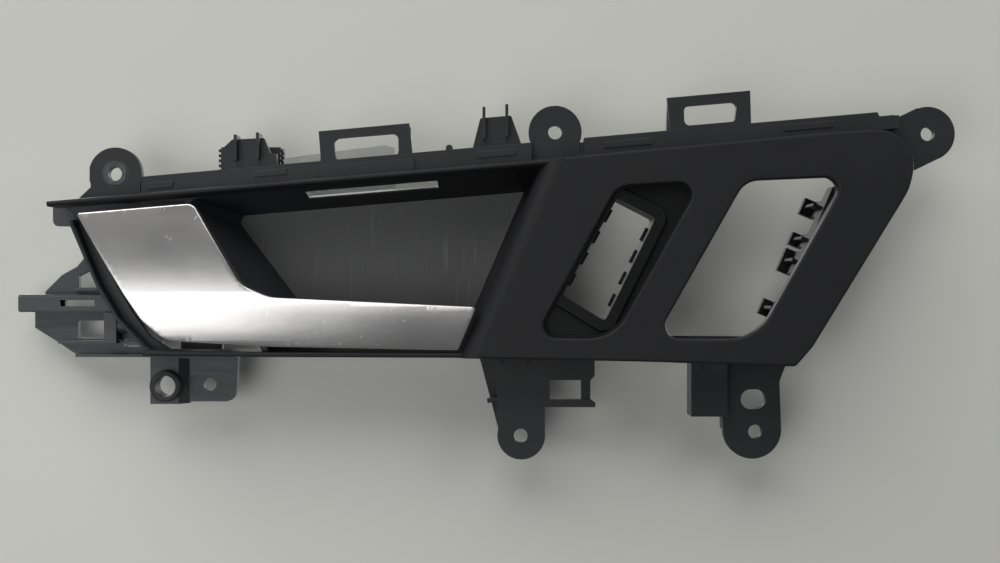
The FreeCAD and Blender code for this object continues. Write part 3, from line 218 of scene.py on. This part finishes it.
def glass_filled():
    """Blue-grey glass-filled bracket: streaks where the melt flowed, short pale fibres, and painted highlights
    along its edges.
    """
    t = Tree("grey_glass_filled", 0.25)
    streak = t.noise(60, 5, 0.65, t.stretched(0.22, 1, 1.6), 0.6)
    fibre = t.ramp(t.noise(1500, 2, 0.6, t.stretched(0.18, 1, 1)), 0.60, 0.72)
    base = t.mix(streak, (0.014, 0.016, 0.020), (0.048, 0.053, 0.061))
    base = t.mix(t.times(fibre, 0.18), base, (0.11, 0.115, 0.12))
    # Painted highlight: the colour is lightened along the edges.
    base = t.mix(t.times(t.edges(0.0005), 0.35), base, (0.15, 0.155, 0.165))
    return t.finish(Base_Color=base, Roughness=t.ramp(streak, 0.3, 0.7, 0.36, 0.6), Specular_IOR_Level=0.42,
                    Normal=t.bump(fibre, 0.00004, 0.5, t.bump(streak, 0.0002, 0.25)))


def grained_floor():
    """Recess floor: leathery grain worn by fingernails, with pale specks."""
    t = Tree("grained_black", 0.4)
    pebble = t.cells(1500)
    grain = t.noise(3000, 3, 0.6)
    cloud = t.noise(30, 4, 0.65)
    fine = t.ramp(t.noise(900, 2, 0.5, t.stretched(1, 1, 0.045), 0.3), 0.60, 0.70)
    turned = t.add("ShaderNodeVectorRotate", {"Vector": t.place, "Angle": math.radians(24)},
                   rotation_type="Y_AXIS").outputs[0]
    lean = t.ramp(t.noise(520, 2, 0.5, turned), 0.7, 0.74)
    where = t.ramp(t.noise(38, 3, 0.6), 0.45, 0.65)
    speck = t.times(t.ramp(t.cells(520), 0.055, 0.03), t.ramp(t.noise(90, 2), 0.56, 0.6))
    scratch = t.times(t.biggest(fine, t.times(lean, 0.4)), where)
    base = t.mix(cloud, (0.0430, 0.0436, 0.0450), (0.0720, 0.0728, 0.0740))
    base = t.mix(t.times(scratch, 0.34), base, (0.16, 0.16, 0.16))
    base = t.mix(speck, base, (0.30, 0.30, 0.29))
    return t.finish(Base_Color=base, Roughness=t.ramp(cloud, 0.3, 0.7, 0.42, 0.56), Specular_IOR_Level=0.36,
                    Normal=t.bump(t.plus(pebble, t.times(grain, 0.4)), 0.00008, 0.4))


def satin_silver():
    """Satin metallic lacquer of the lever: fine flake, hairline scratches and a few nicks."""
    t = Tree("satin_silver")
    flake = t.noise(7000, 2, 0.5)
    cloud = t.noise(22, 4, 0.6)
    turned = t.add("ShaderNodeVectorRotate", {"Vector": t.place, "Angle": math.radians(52)},
                   rotation_type="Y_AXIS").outputs[0]
    drawn = t.add("ShaderNodeVectorMath", {0: turned, 1: (0.05, 1, 1)}, operation="MULTIPLY").outputs[0]
    hair = t.times(t.ramp(t.noise(1300, 1, 0.4, drawn), 0.73, 0.76), t.ramp(t.noise(55, 2), 0.52, 0.6))
    pit = t.times(t.ramp(t.cells(420), 0.05, 0.03), t.ramp(t.noise(70, 2), 0.60, 0.64))
    base = t.mix(cloud, (0.53, 0.52, 0.515), (0.60, 0.59, 0.585))
    base = t.mix(t.times(flake, 0.18), base, (0.75, 0.745, 0.74))
    base = t.mix(t.times(hair, 0.5), base, (0.85, 0.85, 0.85))
    base = t.mix(t.times(pit, 0.5), base, (0.28, 0.27, 0.26))
    rough = t.plus(t.ramp(cloud, 0.3, 0.7, 0.20, 0.25), t.times(hair, 0.1))
    return t.finish(Base_Color=base, Metallic=0.92, Roughness=rough,
                    Normal=t.bump(t.plus(flake, t.times(hair, 2.0)), 0.00001, 0.35))


def rubber():
    """Dull black rubber with a faint grey bloom."""
    t = Tree("rubber")
    bloom = t.noise(160, 4, 0.6)
    return t.finish(Base_Color=t.mix(bloom, (0.010, 0.010, 0.011), (0.026, 0.026, 0.027)),
                    Roughness=t.ramp(bloom, 0.3, 0.7, 0.55, 0.75), Specular_IOR_Level=0.35,
                    Normal=t.bump(t.noise(2400, 3), 0.00004, 0.4))


def clear_guide():
    """Light guide: clear plastic, slightly dusty, that shows mostly by its edges."""
    t = Tree("clear_plastic", 0.15)
    etch = t.noise(1800, 3, 0.6)
    tone = t.mix(t.noise(60, 2), (0.60, 0.61, 0.62), (0.74, 0.75, 0.76))
    return t.finish(Base_Color=tone, Roughness=t.ramp(etch, 0.3, 0.7, 0.05, 0.14), Transmission_Weight=1.0,
                    IOR=1.49, Normal=t.bump(etch, 0.00002, 0.2))


def metal(name, dark, light, rough, scale=700, drawn=(1, 1, 0.1)):
    """Bare metal with fine drawn or ground lines."""
    t = Tree(name)
    lines = t.noise(scale, 3, 0.6, t.stretched(*drawn))
    tarnish = t.noise(140, 3, 0.6)
    return t.finish(Base_Color=t.mix(tarnish, dark, light), Metallic=1.0,
                    Roughness=t.ramp(lines, 0.3, 0.7, rough - 0.06, rough + 0.08),
                    Normal=t.bump(lines, 0.00002, 0.3))


def plain_plastic(name, dark, light, rough):
    """Smooth moulded plastic between two colours."""
    t = Tree(name)
    cloud = t.noise(220, 3, 0.6)
    return t.finish(Base_Color=t.mix(cloud, dark, light),
                    Roughness=t.ramp(cloud, 0.3, 0.7, rough - 0.05, rough + 0.07),
                    Normal=t.bump(t.noise(2200, 2), 0.00003, 0.3))


def board():
    """Green solder mask over fine copper tracks."""
    t = Tree("circuit_board")
    track = t.ramp(t.cells(420, "DISTANCE_TO_EDGE"), 0.06, 0.09)
    return t.finish(Base_Color=t.mix(track, (0.03, 0.20, 0.08), (0.012, 0.10, 0.045)),
                    Roughness=t.ramp(track, 0, 1, 0.3, 0.4),
                    Normal=t.bump(track, 0.00003, 0.5))


MATERIALS = {
    "soft_touch_black": soft_touch(),
    "black_plastic": moulded_black(),
    "switch_black_painted_shade": black_in_painted_shade(),
    "grey_glass_filled_plastic": glass_filled(),
    "grained_black": grained_floor(),
    "clear_plastic": clear_guide(),
    "circuit_board": board(),
    "led_lens": plain_plastic("led_lens", (0.75, 0.70, 0.42), (0.85, 0.82, 0.55), 0.2),
    "spring_steel": metal("spring_steel", (0.36, 0.36, 0.37), (0.52, 0.52, 0.52), 0.28),
    "rubber": rubber(),
    "steel": metal("steel", (0.46, 0.46, 0.47), (0.62, 0.62, 0.62), 0.24),
    "satin_silver": satin_silver(),
    "acetal": plain_plastic("acetal", (0.70, 0.69, 0.65), (0.80, 0.79, 0.76), 0.35),
    "zinc": metal("zinc", (0.42, 0.42, 0.44), (0.56, 0.56, 0.58), 0.42, 1500, (1, 1, 1)),
    "black_steel": metal("black_steel", (0.035, 0.035, 0.037), (0.075, 0.075, 0.078), 0.38, 1200, (1, 1, 1)),
}
SLOT_OF = {part["node"]: part["material_slot"] for part in frame["record"]["subparts"]}
# Two pieces of the same plastic lie deep in the switch openings; their darker copy of it is painted shade.
LOOK_OF = dict(SLOT_OF, memory_switch_frame="switch_black_painted_shade", lock_switch_surround="switch_black_painted_shade")


def dress(piece, slot):
    """Gives the piece one material."""
    piece.data.materials.clear()
    piece.data.materials.append(MATERIALS[slot])


# ---------------------------------------------------------------- carried-over CAD nodes

for name, piece in NODES.items():
    dress(piece, LOOK_OF[name])


# ---------------------------------------------------------------- lever face

SAME = 0.002 * MM               # points this close count as one
WALL = 1.6 * MM
RIM_STEP = 1.2 * MM             # spacing of points along the rim
RIM_R = 0.45 * MM               # rounding of the rim,
RIM_TURNS = (14, 30, 46, 62, 78, 90)    # and the degrees round it at which its rings lie
RIM_ZONE = 1.2 * MM             # strip in which the CAD face's own rim rounding would spoil a depth
SKIRT = 1.0 * MM                # rearmost strip of the skirt
CREASE_PLACES = (0.20, 0.36)    # where the crease is looked for, as shares of the shell's length,
CREASE_MARGIN = 8 * MM          # no closer than this to its top and foot,
CREASE_STEP = 0.02 * MM         # and how finely
CREASE_R = 0.7 * MM             # half the width of the crease's rounding
CREASE_TURN = 0.17              # change of slope across the crease
PLATE_HEIGHT = 30 * MM          # from the crease to the plate's upper edge
PLATE_CROWN = 0.5 * MM          # how much the plate swells between them
# Rows and columns of points on the face, measured across and along the crease; rows in mm.
FINE_ROWS = (0.15, 0.35, 0.6, 0.9, 1.3, 1.9, 2.7, 3.8, 5.2, 7.0)
ROWS_ABOVE = range(9, 36, 2)
ROWS_BELOW = range(9, 22, 2)
COLUMNS = np.arange(-90 * MM, 140 * MM, 1.6 * MM)


def longest_loop(piece, y):
    """Longest closed ring of a node's mesh in the plane y, as a list of (x, z)."""
    bm = bmesh.new()
    bm.from_mesh(piece.data)
    bmesh.ops.remove_doubles(bm, verts=bm.verts, dist=SAME)
    bmesh.ops.dissolve_limit(bm, angle_limit=math.radians(0.6), verts=bm.verts, edges=bm.edges)
    flat = {f for f in bm.faces if all(abs(v.co.y - y) < SAME for v in f.verts)}
    rim = [e for e in bm.edges if sum(f in flat for f in e.link_faces) == 1]
    rings, used = [], set()
    for edge in rim:
        if edge in used:
            continue
        ring, here, step = [], edge.verts[0], edge
        while step is not None:
            used.add(step)
            ring.append((here.co.x, here.co.z))
            here = step.other_vert(here)
            step = next((e for e in here.link_edges if e in rim and e not in used), None)
        rings.append(ring)
    bm.free()
    return max(rings, key=lambda r: sum(math.dist(r[i - 1], r[i]) for i in range(len(r))))


def resample(ring, step):
    """The same ring with points no further apart than step."""
    out = []
    for i in range(len(ring)):
        a, b = Vector(ring[i]), Vector(ring[(i + 1) % len(ring)])
        count = max(1, math.ceil((b - a).length / step))
        out += [tuple(a.lerp(b, k / count)) for k in range(count)]
    return out


def inside(ring, x, z):
    """True where the point lies within the ring."""
    odd = False
    for i in range(len(ring)):
        (ax, az), (bx, bz) = ring[i - 1], ring[i]
        if (az > z) != (bz > z) and x < ax + (z - az) / (bz - az) * (bx - ax):
            odd = not odd
    return odd


def ring_distance(ring, points):
    """Distance of each point from the ring's line."""
    p = np.asarray(points)[:, None, :]
    a = np.asarray(ring)[None, :, :]
    b = np.roll(a, -1, axis=1)
    along = b - a
    share = np.clip(((p - a) * along).sum(2) / np.maximum((along ** 2).sum(2), 1e-18), 0, 1)
    return np.sqrt((((a + along * share[..., None]) - p) ** 2).sum(2)).min(1)


def rim_rings(ring):
    """Rings just inside the rim, which carry its rounding."""
    points = np.asarray(ring)
    ahead = np.roll(points, -1, axis=0) - np.roll(points, 1, axis=0)
    inward = np.stack([-ahead[:, 1], ahead[:, 0]], 1)
    inward /= np.linalg.norm(inward, axis=1)[:, None]
    if not inside(ring, *(points[0] + inward[0] * RIM_R)):
        inward = -inward
    insets = [RIM_R * (1 - math.cos(math.radians(turn))) for turn in RIM_TURNS]
    return [[tuple(p) for p in points + inward * inset] for inset in insets]


def crease_line(front, low, high):
    """A point on the crease, and the directions along and across it, in x and z."""

    def height(x):
        heights = np.arange(low.z + CREASE_MARGIN, high.z - CREASE_MARGIN, CREASE_STEP)
        return min((front(x, z) or 0.0, z) for z in heights)[1]

    # The crease is the foremost line of the shell.
    xa, xb = (low.x + share * (high.x - low.x) for share in CREASE_PLACES)
    za, zb = height(xa), height(xb)
    along = Vector((xb - xa, zb - za)).normalized()
    return Vector((xa, za)), along, Vector((-along.y, along.x))


def face_section(samples):
    """Depth as a function of the height above the crease, fitted to pairs of height and depth."""
    plate = np.polyfit(*np.transpose([s for s in samples if s[0] > 2 * MM]), 1)
    bar = np.polyfit(*np.transpose([s for s in samples if s[0] < -0.3 * MM]), 3)

    def depth(w):
        y = float(np.polyval(plate if w > 0 else bar, w))
        if 0 < w < PLATE_HEIGHT:
            y -= PLATE_CROWN * 4 * w * (PLATE_HEIGHT - w) / PLATE_HEIGHT ** 2
        if abs(w) < CREASE_R:
            y += (CREASE_R - abs(w)) ** 2 / (4 * CREASE_R) * CREASE_TURN
        return y

    return depth


def lever_face():
    """Front shell of the lever: the CAD face with a tight crease and rounded rims, as one fine smooth sheet."""
    node = NODES["lever_shell"]
    low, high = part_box("lever_shell")
    tree = BVHTree.FromPolygons([v.co.copy() for v in node.data.vertices],
                                [tuple(f.vertices) for f in node.data.polygons])

    def front(x, z):
        hit = tree.ray_cast(Vector((x, low.y - 50 * MM, z)), Vector((0, 1, 0)))[0]
        return hit.y if hit is not None else None

    origin, along, across = crease_line(front, low, high)
    ring = resample(longest_loop(node, high.y), RIM_STEP)
    rows = [side * d * MM for side in (-1, 1) for d in FINE_ROWS] + [0.0]
    rows += [d * MM for d in ROWS_ABOVE] + [-d * MM for d in ROWS_BELOW]
    spots = [origin + along * u + across * w for w in rows for u in COLUMNS]
    spots = [p for p in spots if inside(ring, p.x, p.y)]
    spots = [p for p, d in zip(spots, ring_distance(ring, spots)) if d > RIM_R * 1.15]
    rings = [ring] + rim_rings(ring)
    size = len(ring)
    edges = [(k * size + i, k * size + (i + 1) % size) for k in range(len(rings)) for i in range(size)]
    corners = [Vector(p) for r in rings for p in r] + spots
    points, _, faces = geometry.delaunay_2d_cdt(corners, edges, [], 1, 1e-7)[:3]
    # The face keeps one section all along the crease.
    heights = [(p - origin).dot(across) for p in points]
    from_rim = ring_distance(ring, [tuple(p) for p in points])
    samples = [(w, front(p.x, p.y)) for p, w, d in zip(points, heights, from_rim) if d > RIM_ZONE]
    depth = face_section([s for s in samples if s[1] is not None])
    bm = bmesh.new()
    placed = []
    for p, w, d in zip(points, heights, from_rim):
        drop = RIM_R - math.sqrt(max(RIM_R ** 2 - max(RIM_R - d, 0.0) ** 2, 0.0))
        placed.append(bm.verts.new((p.x, max(depth(w) + drop, low.y), p.y)))
    for f in faces:
        bm.faces.new([placed[i] for i in f])
    bmesh.ops.recalc_face_normals(bm, faces=bm.faces)
    if sum(f.normal.y for f in bm.faces) > 0:
        bmesh.ops.reverse_faces(bm, faces=bm.faces)
    # The skirt runs straight back from the rim.
    rim = [e for e in bm.edges if e.is_boundary]
    for y in (high.y - SKIRT, high.y):
        made = bmesh.ops.extrude_edge_only(bm, edges=rim)["geom"]
        for v in made:
            if isinstance(v, bmesh.types.BMVert):
                v.co.y = y
        rim = [e for e in made if isinstance(e, bmesh.types.BMEdge)]
    bmesh.ops.recalc_face_normals(bm, faces=bm.faces)
    mesh = bpy.data.meshes.new("lever_face")
    bm.to_mesh(mesh)
    bm.free()
    piece = bpy.data.objects.new("lever_face", mesh)
    bpy.context.scene.collection.objects.link(piece)
    for face in mesh.polygons:
        face.use_smooth = True
    thick = piece.modifiers.new("wall", "SOLIDIFY")
    thick.thickness = WALL
    thick.offset = -1
    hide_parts("lever_shell")
    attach(piece, "lever")
    dress(piece, "satin_silver")


lever_face()


# ---------------------------------------------------------------- stage, light and camera

def pale_table():
    """Plain pale surface under the object, clear from behind so that it never hides the object's back."""
    t = Tree("pale_table")
    cloud = t.noise(2.2, 2, 0.5)
    t.finish(Base_Color=t.mix(cloud, (0.560, 0.565, 0.525), (0.500, 0.505, 0.470)),
             Roughness=t.ramp(cloud, 0.3, 0.7, 0.30, 0.36), Specular_IOR_Level=0.35)
    back = t.add("ShaderNodeNewGeometry").outputs["Backfacing"]
    clear = t.add("ShaderNodeBsdfTransparent")
    blend = t.add("ShaderNodeMixShader", {0: back, 1: t.shader.outputs[0], 2: clear.outputs[0]})
    t.links.new(blend.outputs[0], t.nodes["Material Output"].inputs["Surface"])
    return t.material


def sheet(name, corners, material):
    """One flat piece of the studio, which isn't part of the object."""
    mesh = bpy.data.meshes.new(name)
    mesh.from_pydata(corners, [], [(0, 1, 2, 3)])
    piece = bpy.data.objects.new(name, mesh)
    bpy.context.scene.collection.objects.link(piece)
    mesh.materials.append(material)
    return piece


def area_light(name, place, aim, width, height, power, colour=(1, 1, 1)):
    """Soft box of the given size and power in watts, turned towards aim."""
    data = bpy.data.lights.new(name, "AREA")
    data.shape = "RECTANGLE"
    data.size, data.size_y = width, height
    data.energy = power
    data.color = colour
    lamp = bpy.data.objects.new(name, data)
    lamp.location = place
    lamp.rotation_euler = (Vector(aim) - Vector(place)).to_track_quat("-Z", "Y").to_euler()
    bpy.context.scene.collection.objects.link(lamp)


middle = (CAD_LOW + CAD_HIGH) / 2
FACE_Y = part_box("front_bezel")[0].y
TABLE_Y = CAD_HIGH.y + 0.5 * MM     # just behind the rearmost point of the object
REACH = 2.5                         # half the table's width
table = sheet("backdrop", [(middle.x - REACH, TABLE_Y, -REACH), (middle.x + REACH, TABLE_Y, -REACH),
                           (middle.x + REACH, TABLE_Y, REACH), (middle.x - REACH, TABLE_Y, REACH)],
              pale_table())
table.visible_shadow = False

area_light("key", (-0.50, -1.05, 1.40), middle, 1.9, 1.3, 34, (1.0, 0.99, 0.97))
area_light("front_left", (-0.64, -1.0, -0.36), (-0.64, 0.0, -0.36), 0.62, 0.84, 4.2)
area_light("front_middle", (-0.20, -1.0, -0.23), (-0.20, 0.0, -0.23), 0.26, 0.44, 1.15)
area_light("right_fill", (0.95, -0.75, 0.35), middle, 0.5, 0.5, 2.2)
area_light("rear_left", (-0.9, 1.0, 0.7), middle, 0.8, 0.8, 34)
area_light("rear_right", (0.9, 1.0, 0.3), middle, 0.8, 0.8, 24)

world = bpy.data.worlds.new("studio")
bpy.context.scene.world = world
world.use_nodes = True
background = world.node_tree.nodes["Background"]
background.inputs["Color"].default_value = (0.80, 0.82, 0.84, 1)
background.inputs["Strength"].default_value = 0.11

# Plain display curve, as a product photo has.
bpy.context.scene.view_settings.view_transform = "Standard"

# A 42 mm lens at 420 mm from the panel's face takes in 360 mm of it.
CAMERA_GAP = 420 * MM
CAMERA_X, CAMERA_Z = -20.5 * MM, -55.5 * MM
camera_data = bpy.data.cameras.new("camera")
camera_data.lens = 42
camera_data.sensor_width = 36
camera = bpy.data.objects.new("camera", camera_data)
camera.location = (CAMERA_X, FACE_Y - CAMERA_GAP, CAMERA_Z)
camera.rotation_euler = (math.pi / 2, 0, 0)
bpy.context.scene.collection.objects.link(camera)
bpy.context.scene.camera = camera
